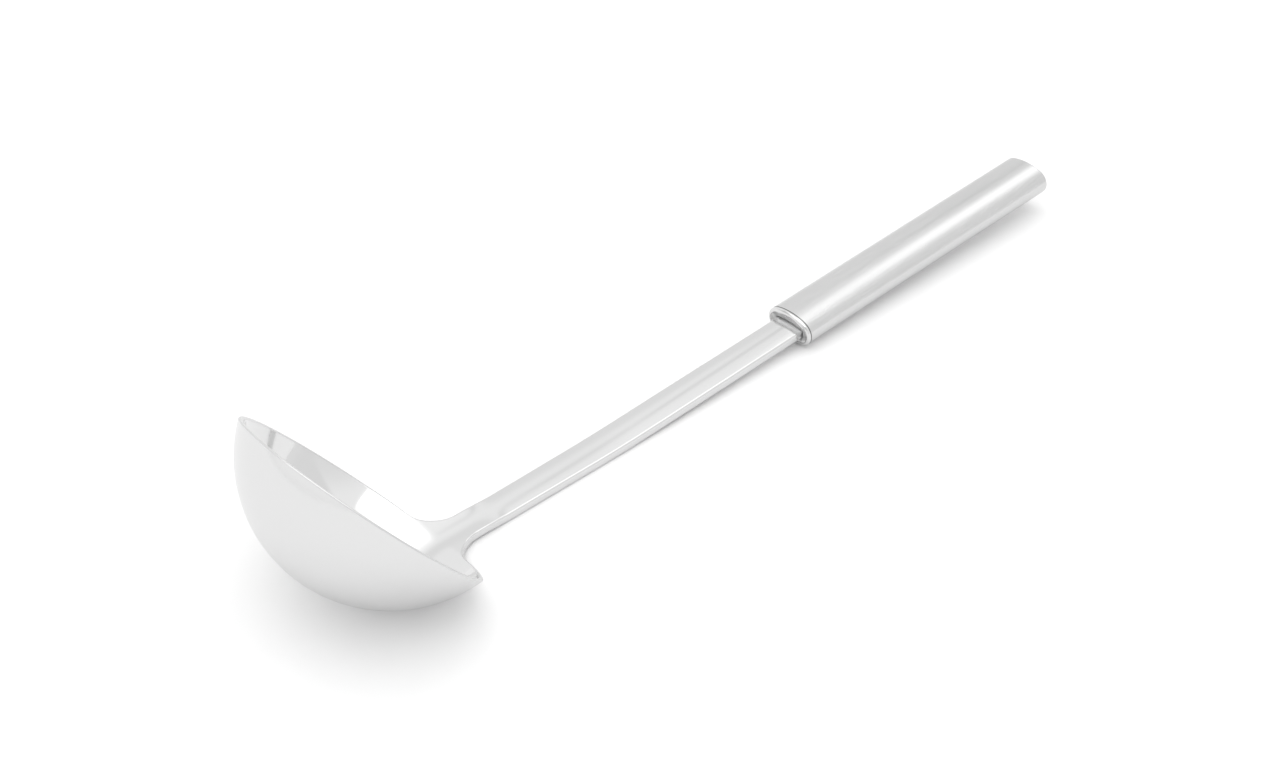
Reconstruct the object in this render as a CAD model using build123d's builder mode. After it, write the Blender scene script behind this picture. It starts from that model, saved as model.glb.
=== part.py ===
from build123d import *
import math
import os

# Bowl: a bowl cut from a ball, lying tipped over towards its handle
rim_diameter = 90.0
bowl_depth = 31.9
bowl_wall = 1.6
rim_edge_radius = 0.5
bowl_axis_angle = 39.16  # degrees above the table, towards the handle

# Neck: the wall of the bowl runs on through the rim, thickens and narrows to the stem
neck_width = 11.8
neck_flare_radius = 12.0
neck_top_height = 3.4
neck_bottom_height = 0.3
neck_top_bend_radius = 16.0
neck_waist_radius = 4.0
neck_keel_radius = 8.0
neck_level_length = 1.0  # least level length of the underside after the keel
neck_waist_angle = 16.0  # degrees round the ball from its lowest place to the start of the waist
neck_half_angle = 22.0  # degrees to each side of the middle, seen from the middle of the ball
neck_cut_share = 0.9  # of the reach at which the first of the rim, the top and the waist leaves the ball

# Stem: a flat bar with a crowned top, level at first, then in line with the handle
stem_reach = 176.6  # from where the bowl rests to the seam at the front of the handle
stem_shoulder_height = 3.2
stem_neck_side = 3.05
stem_collar_side = 3.2
stem_neck_crown = 0.3
stem_collar_crown = 0.75
stem_widest = 12.7
stem_axis_offset = 1.05
stem_underside_crown = 0.06
stem_corner_radius = 0.8
stem_neck_corner_radius = 0.35
stem_straight_length = 6.0

# Width of the stem as shares of its widest place, at shares of its two runs
level_width_shares = ((0.17, 0.935), (0.8, 0.972))
sloped_width_shares = ((0.14, 0.99), (0.35, 1.0), (1.0, 0.985))

# Handle: an oval tube that rises a little towards its rear end
handle_length = 130.4
handle_width = 20.4
handle_height = 12.0
handle_side_radius = 5.2
handle_wall = 1.0
handle_rise = 2.47  # degrees
handle_rear_edge_radius = 0.7
handle_front_edge_radius = 0.2

# Collar: an oval plug with a raised lip round a recessed face
collar_front = 1.6
collar_edge_radius = 1.0
collar_lip = 1.35
collar_recess = 1.05
collar_seam_edge_radius = 0.2
collar_plug_depth = 8.0

# Tang and the core round it
tang_width = 9.0
tang_thickness = 2.6
tang_length = 34.0
tang_end_radius = 1.0
core_length = 40.0

# Rear cap
cap_depth = 6.0
cap_proud = 0.3
cap_edge_radius = 0.3

# Clearances
plug_clearance = 0.1
slot_clearance = 0.1
tang_clearance = 0.15
overrun = 5.0

# Ball that the bowl is cut from
rim_radius = rim_diameter / 2
ball_radius = (rim_radius**2 + bowl_depth**2) / (2 * bowl_depth)
inner_ball_radius = ball_radius - bowl_wall
rim_distance = ball_radius - bowl_depth
tilt = math.radians(bowl_axis_angle)

# Height of the handle, with the underside of the collar resting on the table
rise = math.radians(handle_rise)
half_height = handle_height / 2
seam_height = (
    (collar_front - collar_edge_radius) * math.sin(rise)
    + (half_height - collar_edge_radius) * math.cos(rise)
    + collar_edge_radius
)

# Length over all, halved to put the origin under the middle of the ladle
cap_half_height = half_height - handle_wall - plug_clearance
cap_reach = (
    (handle_length + cap_proud - cap_edge_radius) * math.cos(rise)
    + (cap_half_height - cap_edge_radius) * math.sin(rise)
    + cap_edge_radius
)
overall_length = ball_radius + stem_reach + cap_reach
bowl_x = ball_radius - overall_length / 2
seam_x = bowl_x + stem_reach

# Directions and planes that the pieces are built on
ball_centre = Vector(bowl_x, 0, ball_radius)
bowl_direction = Vector(math.cos(tilt), 0, math.sin(tilt))
rim_back_direction = Vector(math.sin(tilt), 0, -math.cos(tilt))
bowl_axis = Axis(ball_centre, bowl_direction)
bowl_plane = Plane(origin=ball_centre, x_dir=rim_back_direction, z_dir=(0, -1, 0))
across = (0, 1, 0)
handle_direction = Vector(math.cos(rise), 0, math.sin(rise))
seam_plane = Plane(origin=(seam_x, 0, seam_height), x_dir=across, z_dir=handle_direction)


def oval(plane, inset):
    """The handle's outline moved inwards by inset: four arcs that run into each other."""
    half_width = handle_width / 2 - inset
    half_rise = handle_height / 2 - inset
    side = handle_side_radius - inset
    side_x = half_width - side
    crown = (side_x**2 + half_rise**2 - side**2) / (2 * (half_rise - side))
    join_angle = math.degrees(math.atan2(crown - half_rise, side_x))
    crown_arc = 180 - 2 * join_angle
    with BuildSketch(plane) as outline:
        with BuildLine():
            CenterArc((side_x, 0), side, -join_angle, 2 * join_angle)
            CenterArc((0, half_rise - crown), crown, join_angle, crown_arc)
            CenterArc((-side_x, 0), side, 180 - join_angle, 2 * join_angle)
            CenterArc((0, crown - half_rise), crown, 180 + join_angle, crown_arc)
        make_face()
    return outline.sketch


def stem_section(plane, width, shoulder, side, crown, sag, corner, grow=0):
    """A slice of the stem: upright sides, a crowned top and an underside that bows down by sag."""
    half = width / 2 + grow
    top = shoulder + grow
    bottom = shoulder - side - grow
    with BuildSketch(plane) as outline:
        with BuildLine():
            ThreePointArc((-half, top), (0, top + crown), (half, top))
            Line((half, top), (half, bottom))
            ThreePointArc((half, bottom), (0, bottom - sag), (-half, bottom))
            Line((-half, bottom), (-half, top))
        make_face()
        fillet(outline.vertices(), radius=corner + grow)
    return outline.sketch


# Neck, from inside the wall of the bowl to where its flare and its keel have both ended
rim_centre = ball_centre - bowl_direction * rim_distance
rim_back_x = rim_centre.X + rim_radius * rim_back_direction.X
top_radius = ball_radius - neck_top_height
bottom_radius = ball_radius - neck_bottom_height
top_turn = math.degrees(
    math.acos((top_radius + neck_top_bend_radius) / (inner_ball_radius + neck_top_bend_radius))
)
waist_turn = neck_waist_angle
top_start = inner_ball_radius * math.sin(math.radians(top_turn))
waist_start = ball_radius * math.sin(math.radians(waist_turn))
neck_cut = neck_cut_share * min(rim_back_x - bowl_x, top_start, waist_start)
half_turn = math.radians(neck_half_angle)
neck_side_direction = (0, math.cos(half_turn), -math.sin(half_turn))
neck_side_plane = Plane(origin=ball_centre, x_dir=(1, 0, 0), z_dir=neck_side_direction)
neck_axis = Axis(ball_centre, (1, 0, 0))


def on_ball(radius, x):
    return (x, math.sqrt(radius**2 - x**2))


def out_from_ball(radius, turn):
    return (radius * math.sin(math.radians(turn)), radius * math.cos(math.radians(turn)))


top_middle = out_from_ball(inner_ball_radius + neck_top_bend_radius, top_turn)
waist_middle = out_from_ball(ball_radius + neck_waist_radius, waist_turn)
keel_drop = bottom_radius - (waist_middle[1] - neck_waist_radius)
keel_reach = neck_waist_radius + neck_keel_radius
keel_turn = math.degrees(math.acos(1 - keel_drop / keel_reach))
keel_x = waist_middle[0] + keel_reach * math.sin(math.radians(keel_turn))
keel_middle = (keel_x, bottom_radius - neck_keel_radius)
neck_end = max(rim_back_x + neck_flare_radius, bowl_x + keel_x + neck_level_length)
neck_end_reach = neck_end - bowl_x

with BuildPart() as neck:
    inner_start = math.degrees(math.asin(neck_cut / inner_ball_radius))
    outer_start = math.degrees(math.asin(neck_cut / ball_radius))
    with BuildSketch(neck_side_plane):
        with BuildLine():
            Line(on_ball(inner_ball_radius, neck_cut), on_ball(ball_radius, neck_cut))
            CenterArc((0, 0), ball_radius, 90 - outer_start, outer_start - waist_turn)
            waist_arc = waist_turn + keel_turn
            CenterArc(waist_middle, neck_waist_radius, -90 - waist_turn, waist_arc)
            CenterArc(keel_middle, neck_keel_radius, 90 + keel_turn, -keel_turn)
            Polyline(
                (keel_x, bottom_radius),
                (neck_end_reach, bottom_radius),
                (neck_end_reach, top_radius),
                (top_middle[0], top_radius),
            )
            CenterArc(top_middle, neck_top_bend_radius, -90, -top_turn)
            CenterArc((0, 0), inner_ball_radius, 90 - top_turn, top_turn - inner_start)
        make_face()
    revolve(axis=neck_axis, revolution_arc=2 * neck_half_angle)
    with BuildSketch(Plane.XY) as plan:
        with Locations((rim_centre.X, 0)):
            Ellipse(rim_radius * math.sin(tilt), rim_radius)
        with Locations((neck_end - neck_flare_radius, 0)):
            Rectangle(2 * neck_flare_radius, neck_width)
        fillet(plan.vertices().group_by(Axis.X)[-2], radius=neck_flare_radius)
    extrude(amount=ball_radius, mode=Mode.INTERSECT)

# Stem, in slices from the neck to the collar
shoulder_x = seam_x - stem_axis_offset * math.sin(rise)
shoulder_z = seam_height + stem_axis_offset * math.cos(rise)
stem_bend_x = shoulder_x - (shoulder_z - stem_shoulder_height) / math.tan(rise)
level_run = stem_bend_x - neck_end
sloped_run = (shoulder_x - stem_bend_x) / math.cos(rise) - stem_straight_length
run = level_run + sloped_run


def between(neck_value, collar_value, share):
    return neck_value + (collar_value - neck_value) * share


neck_sag = bottom_radius - math.sqrt(bottom_radius**2 - (neck_width / 2) ** 2)
neck_hollow = top_radius - math.sqrt(top_radius**2 - (neck_width / 2) ** 2)
neck_plane = Plane(origin=(neck_end, 0, 0), x_dir=across, z_dir=(1, 0, 0))
slices = [
    stem_section(
        neck_plane,
        neck_width,
        neck_top_height + neck_hollow,
        neck_top_height + neck_hollow - neck_bottom_height - neck_sag,
        -neck_hollow,
        neck_sag,
        stem_neck_corner_radius,
    )
]
for run_share, width_share in level_width_shares:
    x = neck_end + level_run * run_share
    share = level_run * run_share / run
    slices.append(
        stem_section(
            Plane(origin=(x, 0, 0), x_dir=across, z_dir=(1, 0, 0)),
            stem_widest * width_share,
            stem_shoulder_height,
            between(stem_neck_side, stem_collar_side, share),
            between(stem_neck_crown, stem_collar_crown, share),
            stem_underside_crown,
            stem_corner_radius,
        )
    )
for run_share, width_share in sloped_width_shares:
    back = stem_straight_length + sloped_run * (1 - run_share)
    share = (level_run + sloped_run * run_share) / run
    slices.append(
        stem_section(
            seam_plane.offset(-back),
            stem_widest * width_share,
            stem_axis_offset,
            between(stem_neck_side, stem_collar_side, share),
            between(stem_neck_crown, stem_collar_crown, share),
            stem_underside_crown,
            stem_corner_radius,
        )
    )

# The slice at the collar, which the slot in the collar follows
collar_slice = (
    stem_widest * sloped_width_shares[-1][1],
    stem_axis_offset,
    stem_collar_side,
    stem_collar_crown,
    stem_underside_crown,
    stem_corner_radius,
)
tang_middle = stem_axis_offset - stem_collar_side / 2

with BuildPart() as bowl_and_stem:
    rim_angle = math.degrees(math.asin(rim_radius / ball_radius))
    inner_rim_angle = math.degrees(math.acos(rim_distance / inner_ball_radius))
    inner_rim_radius = inner_ball_radius * math.sin(math.radians(inner_rim_angle))
    with BuildSketch(bowl_plane) as wall:
        with BuildLine():
            CenterArc((0, 0), ball_radius, -90, rim_angle)
            Line((rim_radius, -rim_distance), (inner_rim_radius, -rim_distance))
            CenterArc((0, 0), inner_ball_radius, -90, inner_rim_angle)
            Line((0, -inner_ball_radius), (0, -ball_radius))
        make_face()
        rim_corners = wall.vertices().sort_by(Axis((0, 0, 0), bowl_direction))[-2:]
        fillet(rim_corners, radius=rim_edge_radius)
    revolve(axis=bowl_axis)
    with BuildSketch(Plane(origin=ball_centre + (neck_cut, 0, 0), x_dir=across, z_dir=(1, 0, 0))):
        depth = ball_radius + overrun
        with BuildLine():
            Polyline(
                (0, 0),
                (-depth * math.tan(half_turn), -depth),
                (depth * math.tan(half_turn), -depth),
                close=True,
            )
        make_face()
    extrude(amount=rim_radius, mode=Mode.SUBTRACT)
    add(neck.part)
    loft(sections=slices, ruled=True)
    straight_slice = stem_section(seam_plane.offset(-stem_straight_length), *collar_slice)
    extrude(straight_slice, amount=stem_straight_length + collar_plug_depth)
    with BuildSketch(seam_plane.offset(collar_plug_depth)):
        with Locations((0, tang_middle)):
            Rectangle(tang_width, tang_thickness)
    extrude(amount=tang_length)
    tang_end = bowl_and_stem.edges().filter_by(Axis.Z, tolerance=2 * handle_rise).sort_by(Axis.X)[-2:]
    fillet(tang_end, radius=tang_end_radius)

with BuildPart() as front_collar:
    extrude(oval(seam_plane.offset(-collar_front), 0), amount=collar_front)
    fillet(front_collar.faces().sort_by(Axis.X)[0].edges(), radius=collar_edge_radius)
    fillet(front_collar.faces().sort_by(Axis.X)[-1].edges(), radius=collar_seam_edge_radius)
    recess = oval(seam_plane.offset(-collar_front), collar_lip)
    extrude(recess, amount=collar_recess, mode=Mode.SUBTRACT)
    plug = oval(seam_plane, handle_wall + plug_clearance)
    extrude(plug, amount=collar_plug_depth)
    slot_plane = seam_plane.offset(-collar_front - overrun)
    slot = stem_section(slot_plane, *collar_slice, grow=slot_clearance)
    extrude(slot, amount=collar_front + collar_plug_depth + 2 * overrun, mode=Mode.SUBTRACT)

with BuildPart() as handle_tube:
    extrude(oval(seam_plane, 0), amount=handle_length)
    fillet(handle_tube.faces().sort_by(Axis.X)[-1].edges(), radius=handle_rear_edge_radius)
    fillet(handle_tube.faces().sort_by(Axis.X)[0].edges(), radius=handle_front_edge_radius)
    bore = oval(seam_plane.offset(-overrun), handle_wall)
    extrude(bore, amount=handle_length + 2 * overrun, mode=Mode.SUBTRACT)

with BuildPart() as tang_core:
    filling = oval(seam_plane.offset(collar_plug_depth), handle_wall + plug_clearance)
    extrude(filling, amount=core_length)
    with BuildSketch(seam_plane.offset(collar_plug_depth)):
        with Locations((0, tang_middle)):
            Rectangle(tang_width + 2 * tang_clearance, tang_thickness + 2 * tang_clearance)
    extrude(amount=tang_length + tang_clearance, mode=Mode.SUBTRACT)

with BuildPart() as rear_cap:
    stopper = oval(seam_plane.offset(handle_length - cap_depth), handle_wall + plug_clearance)
    extrude(stopper, amount=cap_depth + cap_proud)
    fillet(rear_cap.faces().sort_by(Axis.X)[-1].edges(), radius=cap_edge_radius)

pieces = {
    "bowl_and_stem": bowl_and_stem,
    "front_collar": front_collar,
    "handle_tube": handle_tube,
    "tang_core": tang_core,
    "rear_cap": rear_cap,
}
os.makedirs("parts", exist_ok=True)
for piece_name, piece in pieces.items():
    piece.part.label = piece_name
    export_step(piece.part, f"parts/{piece_name}.step")
print("length over all", round(overall_length, 2), "bowl at x", round(bowl_x, 2))
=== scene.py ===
# %% [markdown]
# # A soup ladle in polished and brushed steel
# This lesson dresses a ladle that has already been built as solid parts.
# The parts arrive as a fixed frame: their sizes and places don't change here.
# Every length below is in metres, and the part rests on the floor at height zero.

# %% Load the fixed frame
import math
import bmesh
import bpy
from mathutils import Matrix, Vector


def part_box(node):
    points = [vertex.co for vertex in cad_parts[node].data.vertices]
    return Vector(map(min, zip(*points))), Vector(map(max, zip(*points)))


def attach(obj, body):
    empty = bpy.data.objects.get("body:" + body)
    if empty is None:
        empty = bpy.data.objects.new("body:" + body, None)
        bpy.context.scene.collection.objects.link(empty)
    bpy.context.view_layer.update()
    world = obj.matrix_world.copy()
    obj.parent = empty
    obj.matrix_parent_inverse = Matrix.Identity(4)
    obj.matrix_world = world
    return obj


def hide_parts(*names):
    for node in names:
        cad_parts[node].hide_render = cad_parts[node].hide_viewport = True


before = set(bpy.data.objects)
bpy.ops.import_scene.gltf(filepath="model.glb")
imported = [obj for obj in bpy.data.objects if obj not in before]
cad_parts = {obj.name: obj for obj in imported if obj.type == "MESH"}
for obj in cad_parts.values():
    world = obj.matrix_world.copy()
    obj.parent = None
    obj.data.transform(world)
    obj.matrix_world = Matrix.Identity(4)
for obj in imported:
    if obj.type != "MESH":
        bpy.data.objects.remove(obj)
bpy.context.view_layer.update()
print("parts in the frame:", sorted(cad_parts))


def mm(length):
    return length * 0.001


# %% [markdown]
# ## The camera
# The photograph looks down at the ladle from the front left.
# The lens and the place were worked out from the outline of the ladle,
# so they are plain numbers here.

# %% Set up the camera
turn, tip, roll = math.radians(-42.15), math.radians(38.35), math.radians(-0.87)
aim, camera_distance = Vector((-0.01040, 0.01806, 0)), 0.7969
focal_pixels, picture_pixels, sensor_width = 2265.71, 1280, 36
look = Vector((-math.sin(turn) * math.cos(tip), math.cos(turn) * math.cos(tip), -math.sin(tip)))
right = Vector((math.cos(turn), math.sin(turn), 0))
up = right.cross(look)
right, up = (
    right * math.cos(roll) + up * math.sin(roll),
    up * math.cos(roll) - right * math.sin(roll),
)
eye = aim - look * camera_distance
camera_data = bpy.data.cameras.new("camera")
camera_data.sensor_fit = "HORIZONTAL"
camera_data.sensor_width = sensor_width
camera_data.lens = focal_pixels * sensor_width / picture_pixels
camera = bpy.data.objects.new("camera", camera_data)
camera.matrix_world = Matrix.Translation(eye) @ Matrix((right, up, -look)).transposed().to_4x4()
bpy.context.scene.collection.objects.link(camera)
bpy.context.scene.camera = camera
print("camera at", tuple(round(value, 3) for value in eye), "lens", round(camera_data.lens, 2))

# %% [markdown]
# ## Helpers for making pieces
# A piece starts as an empty bmesh. Operators fill it, and this helper turns it into an object.
# Its shading is smooth, its faces point outwards, and it rides on the frame's one body.

# %% Turn a bmesh into a piece of the ladle
def finish_piece(shape, name, node):
    bmesh.ops.recalc_face_normals(shape, faces=shape.faces[:])
    mesh = bpy.data.meshes.new(name)
    shape.to_mesh(mesh)
    shape.free()
    mesh.shade_smooth()
    piece = bpy.data.objects.new(name, mesh)
    bpy.context.scene.collection.objects.link(piece)
    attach(piece, "root")
    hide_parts(node)
    low, high = (Vector(map(pick, zip(*(v.co for v in mesh.vertices)))) for pick in (min, max))
    size = [round(side * 1000, 2) for side in high - low]
    print(name, "has", len(mesh.polygons), "faces, size in mm", size)
    return piece


def soften(piece):
    """Large faces keep their own shading, and the narrow ones on an edge blend between them."""
    modifier = piece.modifiers.new("even shading", "WEIGHTED_NORMAL")
    modifier.mode = "FACE_AREA"
    modifier.weight = 80


def smooth_step(value):
    value = min(max(value, 0), 1)
    return value * value * (3 - 2 * value)


def between(first, last, share):
    return first + (last - first) * share


# %% [markdown]
# ## The bowl, the neck and the stem
# On the real ladle these are one sheet of steel, pressed into a bowl at one end.
# A boolean of three simple bodies would leave creases where they meet,
# and polished steel shows every crease. So both skins of the sheet are made as one net:
# an arc is spun into the bowl, the back of its rim is extruded into the neck and the stem,
# and the net is laid onto the true surface.

# %% Sizes of the bowl
ball_radius = mm(47.69)
bowl_depth = mm(31.9)
wall = mm(1.6)
rim_radius = mm(45)
rim_distance = ball_radius - bowl_depth
tilt = math.radians(39.16)
ball_centre = Vector((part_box("bowl_and_stem")[0].x + ball_radius, 0, ball_radius))
bowl_direction = Vector((math.cos(tilt), 0, math.sin(tilt)))
back_direction = Vector((math.sin(tilt), 0, -math.cos(tilt)))
meridians = 120
rings = 24
sector = math.radians(21)
columns = 14
print("middle of the ball at", tuple(round(value, 5) for value in ball_centre))

# %% [markdown]
# The top and the underside of the neck are both turned about one long axis,
# which goes through the middle of the ball. Seen from the side, each is a few arcs.
# The top leaves the ball in one soft bend. The underside dips into a small waist
# and comes back out in a keel, so the neck thickens to the stem.

# %% Side outlines of the neck, as distances from the long axis
bend = mm(16)
top_level = ball_radius - mm(3.4)
bend_turn = math.acos((top_level + bend) / (ball_radius - wall + bend))
waist, keel = mm(4), mm(8)
keel_height = mm(0.3)
under_level = ball_radius - keel_height
waist_turn = math.radians(16)
waist_x = (ball_radius + waist) * math.sin(waist_turn)
waist_depth = (ball_radius + waist) * math.cos(waist_turn)
keel_turn = math.acos(1 - (under_level - waist_depth + waist) / (waist + keel))
keel_x = waist_x + (waist + keel) * math.sin(keel_turn)


def top_distance(x):
    if x < (ball_radius - wall) * math.sin(bend_turn):
        return math.sqrt((ball_radius - wall) ** 2 - x**2)
    bend_x = (ball_radius - wall + bend) * math.sin(bend_turn)
    return top_level + bend - math.sqrt(bend**2 - min(x - bend_x, 0) ** 2)


def under_distance(x):
    if x < ball_radius * math.sin(waist_turn):
        return math.sqrt(ball_radius**2 - x**2)
    if x < waist_x + waist * math.sin(keel_turn):
        return waist_depth - math.sqrt(waist**2 - (x - waist_x) ** 2)
    return under_level - keel + math.sqrt(keel**2 - min(x - keel_x, 0) ** 2)


def settle(vertex, distance):
    """Drops a vertex onto its skin, without moving it in plan."""
    x = vertex.co.x - ball_centre.x
    vertex.co.z = ball_centre.z - math.sqrt(distance(x) ** 2 - vertex.co.y**2)


print("neck thickness at the stem in mm:", round((under_level - top_level) * 1000, 2))

# %% [markdown]
# The flare of the neck is an arc in plan that leaves the rim without a corner
# and ends along the stem. Its points are read off by the distance along it,
# so the rows of the net are evenly spaced.

# %% Outline of the flare in plan
flare = mm(12)
flare_middle = Vector((mm(26.196), mm(17.9)))
flare_start = math.radians(19.8)
flare_lean = math.radians(12.81)
rim_middle_x = -rim_distance * bowl_direction.x
neck_end = mm(28.2)
neck_half_width = mm(5.9)


def rim_point(psi, radius):
    return Vector((rim_middle_x + radius * math.sin(tilt) * math.cos(psi), radius * math.sin(psi)))


def flare_point(share):
    """A point of the outline, from the edge of the bowl's back sector at 0 to the stem at 1."""
    rim_run = rim_radius * (sector - flare_start)
    arc_turn = math.pi / 2 - flare_lean
    straight_run = neck_end - flare_middle.x
    along = share * (rim_run + flare * arc_turn + straight_run)
    if along < rim_run:
        return rim_point(sector - along / rim_radius, rim_radius)
    along -= rim_run
    if along < flare * arc_turn:
        angle = math.pi + flare_lean + along / flare
        return flare_middle + flare * Vector((math.cos(angle), math.sin(angle)))
    return Vector((flare_middle.x + along - flare * arc_turn, neck_half_width))


print("the flare starts at", tuple(round(value * 1000, 2) for value in flare_point(0)))

# %% [markdown]
# The stem follows one line in side view: level, a soft bend, then straight
# in line with the handle. Its width, its crown and its thickness change slowly along that line.

# %% Sections of the stem
rise = math.radians(2.47)
seam = Vector((ball_centre.x + mm(176.6), 0, mm(6.021)))
shoulder = mm(3.2)
over_seam = mm(1.05)
shoulder_end = seam + over_seam * Vector((-math.sin(rise), 0, math.cos(rise)))
bend_x = shoulder_end.x - (shoulder_end.z - shoulder) / math.tan(rise)
stem_start = ball_centre.x + neck_end
level_run = bend_x - stem_start
bend_run = mm(24)
stem_run = level_run + (shoulder_end.x - bend_x) / math.cos(rise)
top_hollow = top_level - math.sqrt(top_level**2 - neck_half_width**2)
under_hollow = under_level - math.sqrt(under_level**2 - neck_half_width**2)
widening_run, narrowing_run, settling_run = mm(85), mm(62), mm(13)


def stem_place(along):
    """The middle of the stem's shoulders at a distance along it, and its direction there."""
    start = level_run - bend_run / 2
    radius = bend_run / rise
    angle = rise * min(max((along - start) / bend_run, 0), 1)
    place = Vector((stem_start + min(along, start), 0, shoulder))
    place += Vector((radius * math.sin(angle), 0, radius * (1 - math.cos(angle))))
    direction = Vector((math.cos(angle), 0, math.sin(angle)))
    return place + direction * max(along - start - bend_run, 0), direction


def stem_half_width(along):
    wide = between(neck_half_width, mm(6.35), smooth_step(along / widening_run))
    return between(wide, mm(6.25), smooth_step((along - widening_run) / narrowing_run))


def stem_heights(along, share):
    """Heights of the top and the underside over the shoulders, at a share of the half width."""
    settled = smooth_step(along / settling_run)
    lift = between(ball_radius - top_level + top_hollow - shoulder, 0, settled)
    stem_crown = between(mm(0.3), mm(0.75), along / stem_run)
    stem_side = between(mm(3.05), mm(3.2), along / stem_run)
    crown = between(-top_hollow, stem_crown, settled)
    side = between(shoulder - keel_height - under_hollow, stem_side, settled)
    sag = between(under_hollow, mm(0.06), settled)
    bow = 1 - share**2
    return lift + crown * bow, -side - sag * bow


print("length of the stem in mm:", round(stem_run * 1000, 1))

# %% [markdown]
# Each skin is a net with the same rows and columns, so the two can be bridged edge to edge.
# The bowl is an arc spun round its axis. The back of the rim is then extruded row by row.
# Inside the back sector the net is relaxed, which keeps its quads healthy
# where the flare leaves the rim.

# %% Lay one skin of the sheet
flare_rows, close_rows, stem_rows, relaxing_rounds = 12, 11, 38, 60
close_step = mm(1.2)
hidden_run = mm(8)


def column_share(number):
    """Columns across the stem: a wider one along each edge, which leaves room to round it."""
    edge = 0.16
    if number in (0, columns):
        return -1 if number == 0 else 1
    return (1 - edge) * (2 * (number - 1) / (columns - 2) - 1)


def add_row(skin, row):
    edges = [e for e in skin.edges if e.verts[0] in row and e.verts[1] in row]
    made = bmesh.ops.extrude_edge_only(skin, edges=edges)["geom"]
    return sorted((g for g in made if isinstance(g, bmesh.types.BMVert)), key=lambda v: v.co.y)


def lay_skin(radius, rim_turn, distance, side):
    skin = bmesh.new()
    skin.verts.new(ball_centre - bowl_direction * radius)
    bmesh.ops.spin(
        skin, geom=skin.verts[:], cent=ball_centre, axis=(0, -1, 0), angle=rim_turn, steps=rings
    )
    bmesh.ops.spin(
        skin,
        geom=skin.verts[:] + skin.edges[:],
        cent=ball_centre,
        axis=bowl_direction,
        angle=math.tau,
        steps=meridians,
        use_merge=True,
    )
    bmesh.ops.remove_doubles(skin, verts=skin.verts[:], dist=mm(0.01))

    def psi(vertex):
        offset = vertex.co - ball_centre
        return math.atan2(offset.y, offset.dot(back_direction))

    rim = {v for v in skin.verts if v.is_boundary}
    row = sorted((v for v in rim if abs(psi(v)) < sector + 0.01), key=lambda v: v.co.y)
    inner = {
        v
        for v in skin.verts
        if abs(psi(v)) < sector - 0.01
        and (v.co - ball_centre).angle(-bowl_direction) > rim_turn / 2
    }
    inset = rim_point(sector, rim_radius) - Vector((row[-1].co.x - ball_centre.x, row[-1].co.y))
    for number in range(1, flare_rows + 1):
        share = number / flare_rows
        row = add_row(skin, row)
        point = flare_point(share) - inset * (1 - smooth_step(share * 1.6))
        for column, vertex in enumerate(row):
            across = between(2 * column / columns - 1, column_share(column), share)
            bow = (1 - share) * mm(1.5) * (1 - across**2)
            vertex.co = ball_centre + Vector((point.x + bow, point.y * across, 0))
            settle(vertex, distance)
        if number < flare_rows:
            inner.update(row[1:-1])
    for number in range(relaxing_rounds):
        bmesh.ops.smooth_vert(
            skin, verts=list(inner), factor=0.5, use_axis_x=True, use_axis_y=True, use_axis_z=True
        )
        for vertex in inner:
            settle(vertex, distance)
    for vertex in skin.verts:
        if vertex.co.x - ball_centre.x > mm(10) and vertex.co.z < ball_centre.z:
            settle(vertex, distance)
    runs = [close_step * n for n in range(1, close_rows + 1)]
    last = stem_run + hidden_run
    runs += [between(runs[-1], last, n / stem_rows) for n in range(1, stem_rows + 1)]
    for along in runs:
        row = add_row(skin, row)
        place, direction = stem_place(along)
        for column, vertex in enumerate(row):
            share = column_share(column)
            height = stem_heights(along, share)[side]
            vertex.co = place + height * Vector((-direction.z, 0, direction.x))
            vertex.co.y = stem_half_width(along) * share
    print("skin of", len(skin.faces), "faces")
    return skin


inner_rim_turn = math.acos(rim_distance / (ball_radius - wall))
outer_rim_turn = math.asin(rim_radius / ball_radius)
blade = lay_skin(ball_radius - wall, inner_rim_turn, top_distance, 0)
underside = lay_skin(ball_radius, outer_rim_turn, under_distance, 1)

# %% [markdown]
# The two skins are joined into one bmesh, and their edges are bridged: that makes the rim,
# the sides of the flare and of the stem. The end of the stem is then drawn out into the tang,
# the tongue that holds the handle. It is hidden, but the piece is whole without the handle too.

# %% Join the two skins and draw out the tang
stem_end_width, stem_end_height = mm(12.5), mm(3.6)
tang_width, tang_height, tang_length = mm(9), mm(2.6), mm(34)
loose = bpy.data.meshes.new("underside")
underside.to_mesh(loose)
underside.free()
blade.from_mesh(loose)
bpy.data.meshes.remove(loose)
weight = blade.edges.layers.float.new("bevel_weight_edge")
edges = [e for e in blade.edges if e.is_boundary]
sides = bmesh.ops.bridge_loops(blade, edges=edges)["faces"]
longest = max(e.calc_length() for face in sides for e in face.edges if e not in edges)
print("side walls:", len(sides), "tallest edge in mm", round(longest * 1000, 2))

end = [
    face for face in sides if abs(face.normal.x) > 0.9 and face.calc_center_median().x > seam.x
]
handle_direction = Vector((math.cos(rise), 0, math.sin(rise)))
made = bmesh.ops.extrude_face_region(blade, geom=end)["geom"]
bmesh.ops.delete(blade, geom=end, context="FACES")
tang = [g for g in made if isinstance(g, bmesh.types.BMVert)]
tang_middle = sum((v.co for v in tang), Vector()) / len(tang)
lean = Matrix.Rotation(-rise, 4, "Y")
space = lean.inverted() @ Matrix.Translation(-tang_middle)
narrowing = (1, tang_width / stem_end_width, tang_height / stem_end_height)
bmesh.ops.scale(blade, vec=narrowing, space=space, verts=tang)
tang_root = [g for g in made if isinstance(g, bmesh.types.BMFace)]
made = bmesh.ops.extrude_face_region(blade, geom=tang_root)
bmesh.ops.delete(blade, geom=tang_root, context="FACES")
tang_end = [g for g in made["geom"] if isinstance(g, bmesh.types.BMVert)]
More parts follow.
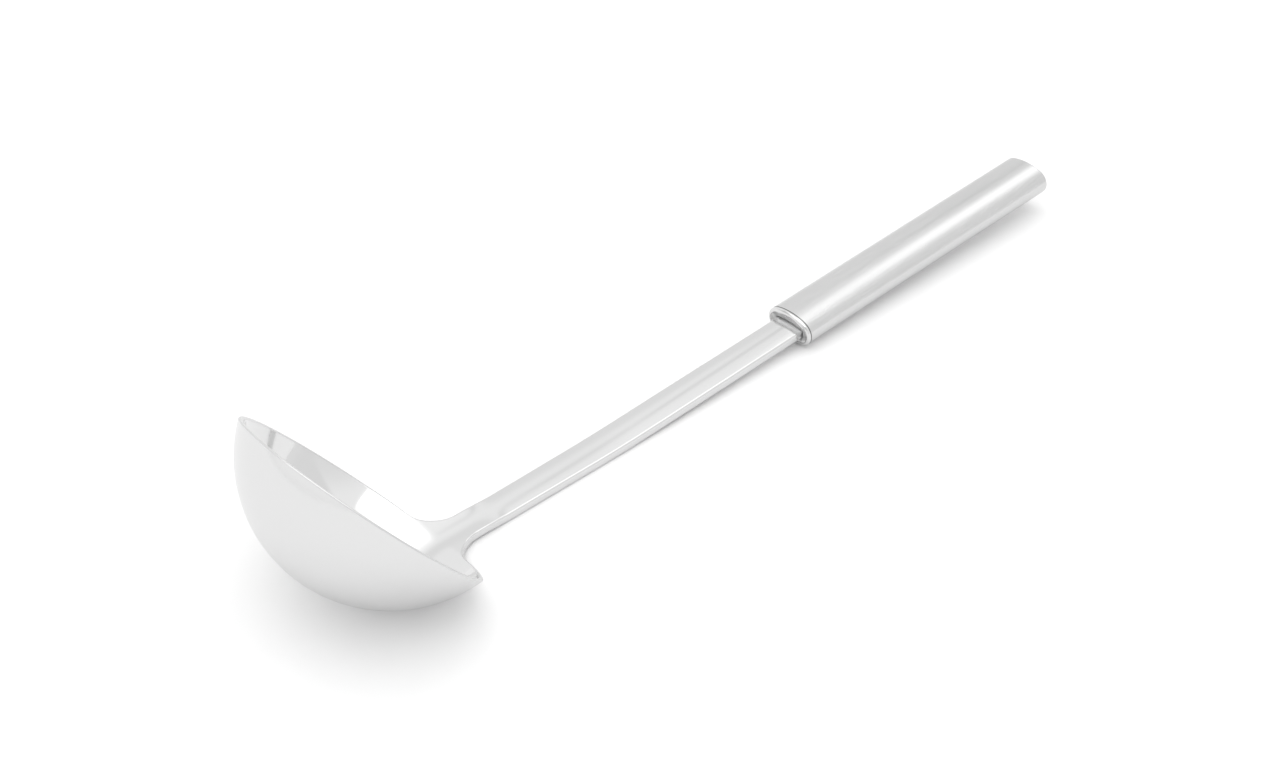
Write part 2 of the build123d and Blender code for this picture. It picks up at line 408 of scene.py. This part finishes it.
bmesh.ops.translate(blade, vec=handle_direction * tang_length, verts=tang_end)
print("tang of", len(tang_end), "points at its end")

# %% [markdown]
# A bevel rounds the edges. Its width is set edge by edge with a weight: narrow on the thin rim,
# wider on the stem, with a soft change along the flare. The rim's outer corner is sharper
# than its inner one, so it takes a wider bevel to give it the same radius of half a millimetre.
# The part of the stem that is inside the handle stays sharp.

# %% Round the edges and finish the blade
outer_weight, inner_weight = 0.94, 0.47
change_start, change_run, handle_start = mm(18), mm(14), mm(184)
for edge in edges:
    if edge.is_valid:
        middle = (edge.verts[0].co.x + edge.verts[1].co.x) / 2 - ball_centre.x
        outside = (edge.verts[0].co - ball_centre).length > ball_radius - wall / 2
        rim_weight = outer_weight if outside else inner_weight
        stem_share = smooth_step((middle - change_start) / change_run)
        edge[weight] = between(rim_weight, 1, stem_share) if middle < handle_start else 0
ladle_blade = finish_piece(blade, "ladle_blade", "bowl_and_stem")
rounding = ladle_blade.modifiers.new("rounded edges", "BEVEL")
rounding.limit_method = "WEIGHT"
rounding.width = mm(0.75)
rounding.segments = 4
rounding.use_clamp_overlap = False
soften(ladle_blade)

# %% [markdown]
# ## The handle, its collar and its cap
# All three share one oval: four arcs that run into each other without a corner.
# Each arc is a single point spun about the arc's middle. Rings of that oval, each a little further
# along the handle or a little smaller, are bridged one after the other, like hoops on a barrel.

# %% Rings of the handle's oval
handle_place = Matrix.Translation(seam) @ Matrix.Rotation(-rise, 4, "Y")
half_width, half_height, side_radius = mm(10.2), mm(6), mm(5.2)
side_steps, crown_steps = 22, 16


def oval_ring(shape, inset, along):
    """A closed ring of edges round the handle's line, at a distance behind the collar's seam."""
    side = side_radius - inset
    side_middle = half_width - side_radius
    height = half_height - inset
    crown = (side_middle**2 + height**2 - side**2) / (2 * (height - side))
    join = math.atan2(crown - height, side_middle)
    arcs = [
        (Vector((along, side_middle, 0)), 2 * join, side_steps),
        (Vector((along, 0, height - crown)), math.pi - 2 * join, crown_steps),
        (Vector((along, -side_middle, 0)), 2 * join, side_steps),
        (Vector((along, 0, crown - height)), math.pi - 2 * join, crown_steps),
    ]
    start = arcs[0][0] + side * Vector((0, math.cos(join), -math.sin(join)))
    axis = handle_place.to_3x3() @ Vector((1, 0, 0))
    points_before, edges_before = set(shape.verts), set(shape.edges)
    tip = [shape.verts.new(handle_place @ start)]
    for middle, angle, steps in arcs:
        tip = bmesh.ops.spin(
            shape, geom=tip, cent=handle_place @ middle, axis=axis, angle=angle, steps=steps
        )["geom_last"]
    points = [v for v in shape.verts if v not in points_before]
    bmesh.ops.remove_doubles(shape, verts=points, dist=mm(0.005))
    return [e for e in shape.edges if e not in edges_before]


def bridge_rings(shape, rings_made):
    """Joins each ring to the next one with a band of faces."""
    for first, second in zip(rings_made, rings_made[1:]):
        bmesh.ops.bridge_loops(shape, edges=first + second)


def round_ring(shape, ring, radius, segments):
    """Rounds over one ring of edges of a finished piece."""
    bmesh.ops.bevel(
        shape,
        geom=ring,
        offset=radius,
        segments=segments,
        profile=0.5,
        affect="EDGES",
        material=-1,
        clamp_overlap=False,
    )


# %% [markdown]
# The handle is a tube with a thin wall. Its rear edge is rounded over, its front edge hardly.

# %% Make the handle
tube = bmesh.new()
length, tube_wall = mm(130.4), mm(1)
outer = [oval_ring(tube, 0, length * n / 16) for n in range(17)]
inner = [oval_ring(tube, tube_wall, length * n / 4) for n in range(4, -1, -1)]
bridge_rings(tube, outer + inner + outer[:1])
round_ring(tube, outer[-1], mm(0.7), 5)
round_ring(tube, outer[0], mm(0.2), 2)
handle = finish_piece(tube, "handle", "handle_tube")
soften(handle)

# %% [markdown]
# The collar is a turned-over lip round a recessed face, with a plug behind it
# that goes into the tube. The floor of the recess has a slot for the stem,
# a hair wider than the stem itself. Two rings that lie in one plane may be bridged with a twist,
# so one of each such pair is nudged out of it by a fiftieth of a millimetre.

# %% Make the collar
def slot_ring(shape, along):
    """The outline of the stem at the collar, a tenth of a millimetre larger all round."""
    gap = mm(0.1)
    top, under = stem_heights(stem_run, 1)
    crown = stem_heights(stem_run, 0)[0]
    middle = (top + under) / 2
    made = bmesh.ops.create_grid(shape, x_segments=12, y_segments=4, size=1)["verts"]
    half = stem_half_width(stem_run) + gap
    for vertex in made:
        across, height = vertex.co.x, vertex.co.y
        bow = crown * (1 - across**2) if height > 0 else 0
        place = Vector((along, across * half, over_seam + middle))
        place.z += height * ((top - under) / 2 + gap) + bow * height
        vertex.co = handle_place @ place
    grid = set(made)
    faces = [f for f in shape.faces if grid.issuperset(f.verts)]
    edges = [e for e in shape.edges if e.is_boundary and grid.issuperset(e.verts)]
    bmesh.ops.delete(shape, geom=faces, context="FACES_ONLY")
    inside = [e for e in shape.edges if grid.issuperset(e.verts) and e not in edges]
    bmesh.ops.delete(shape, geom=inside, context="EDGES")
    loose = [v for v in made if v.is_valid and not v.link_edges]
    bmesh.ops.delete(shape, geom=loose, context="VERTS")
    return edges


collar = bmesh.new()
front, recess, plug = mm(-1.6), mm(-0.55), mm(8)
lip, plug_inset, nudge = mm(1.35), mm(1.1), mm(0.02)
plug_back = oval_ring(collar, plug_inset, plug)
plug_front = oval_ring(collar, plug_inset, nudge)
seam_ring = oval_ring(collar, 0, 0)
front_ring = oval_ring(collar, 0, front)
lip_ring = oval_ring(collar, lip, front + nudge)
floor_ring = oval_ring(collar, lip, recess)
slot_front = slot_ring(collar, recess)
slot_back = slot_ring(collar, plug)
bridge_rings(collar, [plug_back, plug_front, seam_ring, front_ring, lip_ring, floor_ring])
bridge_rings(collar, [slot_front, slot_back])
for around, slot in ((floor_ring, slot_front), (plug_back, slot_back)):
    bmesh.ops.triangle_fill(collar, edges=around + slot, use_beauty=True)
round_ring(collar, front_ring, mm(1.0), 6)
round_ring(collar, lip_ring, mm(0.12), 2)
round_ring(collar, seam_ring, mm(0.2), 2)
handle_collar = finish_piece(collar, "collar", "front_collar")
soften(handle_collar)

# %% [markdown]
# The cap closes the rear of the tube and stands out of it by a third of a millimetre.

# %% Make the rear cap
cap = bmesh.new()
cap_rings = [oval_ring(cap, plug_inset, length + along) for along in (mm(-6), mm(-3), mm(0.3))]
bridge_rings(cap, cap_rings)
for ring in (cap_rings[0], cap_rings[-1]):
    bmesh.ops.edgeloop_fill(cap, edges=ring)
round_ring(cap, cap_rings[-1], mm(0.3), 3)
end_cap = finish_piece(cap, "end_cap", "rear_cap")
soften(end_cap)

# %% [markdown]
# ## Finishes
# Shader maths is easier to read as ordinary sums, so one small class wraps a socket.
# Adding, taking away or multiplying two wrapped sockets adds the node that does it.

# %% A socket that can be calculated with
class Socket:
    def __init__(self, tree, link):
        self.tree, self.link = tree, link

    def node(self, kind, settings=None, **inputs):
        """Adds any node. Names of sockets are written with underscores for spaces."""
        made = self.tree.nodes.new(kind)
        for name, value in (settings or {}).items():
            setattr(made, name, value)
        for name, value in inputs.items():
            number = name.removeprefix("input_")
            socket = made.inputs[int(number) if number.isdigit() else name.replace("_", " ")]
            if isinstance(value, Socket):
                self.tree.links.new(value.link, socket)
            else:
                socket.default_value = value
        return made

    def wrap(self, made, output=0):
        return Socket(self.tree, made.outputs[output])

    def add(self, kind, settings=None, output=0, **inputs):
        """Adds any node and wraps one of its outputs."""
        return self.wrap(self.node(kind, settings, **inputs), output)

    def math(self, operation, *values):
        inputs = {f"input_{number}": value for number, value in enumerate(values)}
        return self.add("ShaderNodeMath", {"operation": operation}, **inputs)

    def __add__(self, other):
        return self.math("ADD", self, other)

    __radd__ = __add__

    def __mul__(self, other):
        return self.math("MULTIPLY", self, other)

    __rmul__ = __mul__

    def __sub__(self, other):
        return self.math("SUBTRACT", self, other)

    def __rsub__(self, other):
        return self.math("SUBTRACT", other, self)

    def __truediv__(self, other):
        return self.math("DIVIDE", self, other)

    def parts(self):
        """The three numbers of a vector."""
        split = self.node("ShaderNodeSeparateXYZ", Vector=self)
        return [self.wrap(split, number) for number in range(3)]

    def length(self):
        return self.add("ShaderNodeVectorMath", {"operation": "LENGTH"}, output=1, input_0=self)

    def step(self, start, end):
        """Rises softly from 0 at start to 1 at end."""
        return self.add(
            "ShaderNodeMapRange",
            {"interpolation_type": "SMOOTHSTEP"},
            Value=self,
            From_Min=start,
            From_Max=end,
        )

    def band(self, start, full, fade, end):
        """Rises from 0 at start to 1 at full, and falls from there at fade back to 0 at end."""
        return self.step(start, full) - self.step(fade, end)

    def mix(self, first, second):
        """Mixes two colours by this socket's value."""
        return self.add(
            "ShaderNodeMix",
            {"data_type": "RGBA"},
            output=2,
            Factor=self,
            input_6=first,
            input_7=second,
        )

    def noise(self, scale, detail, roughness=0.5, dimensions="3D"):
        """Noise at this place."""
        return self.add(
            "ShaderNodeTexNoise",
            {"noise_dimensions": dimensions},
            Vector=self,
            Scale=scale,
            Detail=detail,
            Roughness=roughness,
        )


def grey(level):
    return level, level, level, 1


def new_material(name):
    """A material with a principled shader, and the object's own coordinates to build on."""
    material = bpy.data.materials.new(name)
    material.use_nodes = True
    tree = material.node_tree
    shader = tree.nodes["Principled BSDF"]
    coordinates = Socket(tree, tree.nodes.new("ShaderNodeTexCoord").outputs["Object"])
    return material, tree, shader, coordinates


def feed(tree, shader, **inputs):
    """Links wrapped sockets to the shader's inputs."""
    for name, value in inputs.items():
        tree.links.new(value.link, shader.inputs[name.replace("_", " ")])


def paint(piece, material):
    piece.data.materials.clear()
    piece.data.materials.append(material)
    print(piece.name, "is finished in", material.name)


# %% [markdown]
# ### Polished and satin steel of the bowl
# The inside of the bowl, the neck and the stem are polished. The outside of the bowl is satin,
# rubbed in rings round its own axis. A surface point belongs to the satin where it is
# nearly a ball's radius from the ball's middle and not out on the neck.

# %% Masks of the bowl and the stem
STEEL = grey(0.80)
bowl_steel, tree, shader, place = new_material("bowl steel")
reach = place.parts()[0]
local = place.add(
    "ShaderNodeMapping",
    {"vector_type": "TEXTURE"},
    Vector=place,
    Location=ball_centre,
    Rotation=(0, tilt - math.pi / 2, 0),
)
radius = local.length()
on_bowl = 1 - reach.step(ball_centre.x + mm(12), ball_centre.x + mm(15))
satin = radius.step(mm(47.0), mm(47.5)) * on_bowl
stem_part = reach.step(stem_start - mm(12), stem_start + mm(10))
print("nodes in the masks:", len(tree.nodes))

# %% [markdown]
# The cut edge of the rim is a little darker and duller than the skins. It is the steel
# that is less than half a millimetre under the plane of the rim. The mask stops short of
# the neck, where that plane would draw a line across the polished steel.

# %% Cut edge of the rim
CUT_STEEL = grey(0.75)
offset = place.add(
    "ShaderNodeVectorMath", {"operation": "SUBTRACT"}, input_0=place, input_1=ball_centre
)
over_rim = offset.add(
    "ShaderNodeVectorMath",
    {"operation": "DOT_PRODUCT"},
    output=1,
    input_0=offset,
    input_1=bowl_direction,
)
cut_edge = over_rim.step(-rim_distance - mm(0.6), -rim_distance - mm(0.4))
cut_edge = cut_edge * (1 - reach.step(ball_centre.x + mm(8), ball_centre.x + mm(13)))
print("nodes with the cut edge:", len(tree.nodes))

# %% [markdown]
# Fine noise varies the roughness: in rings on the satin, in long lines on the stem,
# and broadly everywhere, as on steel that has been washed and dried by hand.

# %% Steel of the bowl and the stem
rubbing = local.add("ShaderNodeCombineXYZ", X=radius, Y=local.parts()[2])
rings_noise = rubbing.noise(5000.0, 3.0, dimensions="2D")
broad_noise = place.noise(60.0, 2.0)
stretched = place.add("ShaderNodeMapping", Vector=place, Scale=(0.02, 1.0, 0.02))
stem_lines = stretched.noise(2200.0, 3.0, 0.6)
roughness = 0.07 + broad_noise * 0.03 + satin * (0.03 + rings_noise * 0.03)
roughness = roughness + stem_part * (0.03 + stem_lines * 0.07) + cut_edge * 0.25
grain = rings_noise * satin * 0.2 + stem_lines * stem_part
bump = place.add("ShaderNodeBump", Height=grain, Distance=mm(0.003), Strength=0.5)
feed(tree, shader, Base_Color=cut_edge.mix(STEEL, CUT_STEEL), Roughness=roughness, Normal=bump)
shader.inputs["Metallic"].default_value = 1
paint(ladle_blade, bowl_steel)

# %% [markdown]
# ### Brushed steel of the handle
# The handle is brushed along its length. Noise that is drawn out twelvefold along the handle
# gives the fine lines, both in how rough the steel is and in its surface.
# A thin dark line of painted shadow marks the seam between the handle and the collar, where the
# gap lies in shade.
# The recess in the collar's face is duller, and its colour is painted lighter to brighten the
# shade that falls in it.

# %% Steel of the handle, the collar and the cap
# Painted shadow: the colour of the dark line along the seam's gap.
SEAM_SHADOW = grey(0.06)
# Painted light: a lighter colour for the shaded recess in the collar's face.
RECESS_LIGHTENED = grey(0.95)


def in_handle(place, stretch):
    """The place along, across and over the handle from its seam, drawn out along the handle."""
    return place.add(
        "ShaderNodeMapping",
        {"vector_type": "TEXTURE"},
        Vector=place,
        Location=seam,
        Rotation=(0, -rise, 0),
        Scale=(stretch, 1.0, 1.0),
    )


def brushed_steel(name, level, rough, lines, depth, recess_rough=0):
    """Steel brushed along the handle. Only the collar has a recess, and so a roughness and a
    painted lighter colour for it.
    """
    material, tree, shader, place = new_material(name)
    drawn_out = in_handle(place, 12.0)
    grain = drawn_out.noise(1800.0, 4.0, 0.65)
    broad = drawn_out.noise(160.0, 2.0)
    back, across, over = in_handle(place, 1.0).parts()
    # painted shadow: the colour is darkened in a thin line at the seam, where the gap lies in
    # shade
    seam_shadow_line = 1 - place.math("ABSOLUTE", back).step(mm(0.12), mm(0.22))
    shade = (grain * 0.6 + broad * 0.4).step(0.25, 0.75).mix(grey(0.93 * level), grey(level))
    shade = seam_shadow_line.mix(shade, SEAM_SHADOW)
    roughness = rough + (grain - 0.5) * lines + (broad - 0.5) * lines * 0.4
    if recess_rough:
        side, top = across / half_width, over / half_height
        recessed = back.step(mm(-1.5), mm(-1.2)) * (1 - (side * side + top * top).step(0.80, 0.86))
        # painted light: the shaded recess gets a lighter colour than the steel around it
        shade = recessed.mix(shade, RECESS_LIGHTENED)
        roughness = roughness + recessed * recess_rough
    bump = place.add("ShaderNodeBump", Height=grain, Distance=depth, Strength=0.5)
    feed(tree, shader, Base_Color=shade, Roughness=roughness, Normal=bump)
    shader.inputs["Metallic"].default_value = 1
    return material


paint(handle, brushed_steel("brushed handle steel", 0.76, 0.25, 0.12, mm(0.01)))
paint(handle_collar, brushed_steel("polished collar steel", 0.80, 0.10, 0.03, mm(0.001), 0.3))
paint(end_cap, brushed_steel("cap steel", 0.80, 0.25, 0.08, mm(0.004)))

# %% [markdown]
# ### The core
# The core inside the handle is cast resin. It is never seen on the whole ladle,
# but it has a finish too.

# %% Resin of the core
resin, tree, shader, place = new_material("core resin")
mottle = place.noise(300.0, 3.0)
feed(tree, shader, Base_Color=mottle.mix(grey(0.07), grey(0.10)), Roughness=0.5 + mottle * 0.2)
paint(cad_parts["tang_core"], resin)

# %% [markdown]
# ## The floor and the light
# The photograph has a bright white table that runs into a white background, and soft light
# from above. The floor is a wide sheet, turned with the camera and reaching far behind the ladle.
# The steel sees a slightly darker table than the camera does, and the camera sees a faint glow
# in it, so that it reaches white where nothing shades it, and the ladle's own shadow stays.

# %% Make the floor
floor_turn, floor_shift, floor_half = math.radians(42), 2.16, 2.5
floor_shape = bmesh.new()
bmesh.ops.create_grid(floor_shape, x_segments=8, y_segments=8, size=floor_half)
turned = Matrix.Rotation(floor_turn, 4, "Z") @ Matrix.Translation((0, floor_shift, 0))
bmesh.ops.transform(floor_shape, matrix=turned, verts=floor_shape.verts[:])
floor_mesh = bpy.data.meshes.new("floor")
floor_shape.to_mesh(floor_mesh)
floor_shape.free()
floor = bpy.data.objects.new("floor", floor_mesh)
bpy.context.scene.collection.objects.link(floor)
table_white, tree, shader, place = new_material("table white")
path = tree.nodes.new("ShaderNodeLightPath")
camera_ray = Socket(tree, path.outputs["Is Camera Ray"])
glossy_ray = Socket(tree, path.outputs["Is Glossy Ray"])
shade = glossy_ray.mix(camera_ray.mix(grey(0.85), grey(1)), grey(0.92))
feed(tree, shader, Base_Color=shade, Emission_Color=camera_ray.mix(grey(0), grey(0.06)))
for name, value in (("Roughness", 1), ("Specular IOR Level", 0), ("Emission Strength", 1)):
    shader.inputs[name].default_value = value
paint(floor, table_white)

# %% [markdown]
# The world is a white studio. Polished steel mirrors it, so its lights are drawn in the sky
# itself, by where a direction points in plan. A very large round softbox hangs overhead:
# it ends sharply towards the camera, and fades out softly behind the ladle.
# A narrow light gives the stem the bright line along its edge.
# A small lamp stands to the right, and only the handle catches it.

# %% Lights of the studio
world = bpy.data.worlds.new("studio")
bpy.context.scene.world = world
world.use_nodes = True
tree = world.node_tree
direction = Socket(tree, tree.nodes.new("ShaderNodeTexCoord").outputs["Generated"])
along, away, height = direction.parts()
above = height.step(0, 0.1)
spread = direction.add("ShaderNodeCombineXYZ", X=along + 0.09, Y=away - 0.2, Z=0.0).length()
softbox = (1 - spread.step(0.725, 0.735)) * (1 - away.step(0.38, 0.64))
softbox = softbox * (1 - along.step(0.18, 0.48))
edge_light = along.band(0.41, 0.45, 0.50, 0.54) * away.band(-0.34, -0.25, 0.12, 0.26)
side_lamp = along.band(0.51, 0.57, 0.70, 0.78) * away.band(0.06, 0.16, 0.28, 0.38)
lights = 0.75 * softbox + 0.5 * edge_light + 0.8 * side_lamp
print("nodes in the lights:", len(tree.nodes))

# %% [markdown]
# Between the lights the walls are a pale grey. They are brighter across the middle and behind
# the ladle, and dimmer at the upper left. A narrow dark gap between two walls gives the stem
# its darker stripe.

# %% Walls of the studio
middle = away.band(-0.85, -0.5, 0.60, 0.68) * (1 - along.step(0.50, 0.56))
behind = away.step(0.70, 0.78) * (1 - along.step(0.38, 0.48))
gap = away.band(0.495, 0.52, 0.545, 0.57) * along.step(0.42, 0.47)
far_right = along.step(0.5, 0.56) * (1 - away.step(-0.25, 0))
left = 1 - along.step(-0.5, 0)
upper_left = left * height.step(0.3, 0.6)
lower_left = left * (1 - height.step(0.3, 0.5))
shades = 0.14 * middle * (1 - 0.7 * left) - 0.24 * gap - 0.38 * upper_left - 0.03 * far_right
walls = 0.86 + 0.11 * behind + 0.09 * lower_left + above * shades
print("nodes with the walls:", len(tree.nodes))

# %% [markdown]
# The camera itself sees plain white behind the ladle.

# %% Light the studio
path = tree.nodes.new("ShaderNodeLightPath")
camera_ray = Socket(tree, path.outputs["Is Camera Ray"])
strength = camera_ray + (1 - camera_ray) * (walls + above * lights)
background = tree.nodes["Background"]
background.inputs["Color"].default_value = grey(1)
feed(tree, background, Strength=strength)
bpy.context.scene.view_settings.view_transform = "Standard"
print("nodes in the sky:", len(tree.nodes))
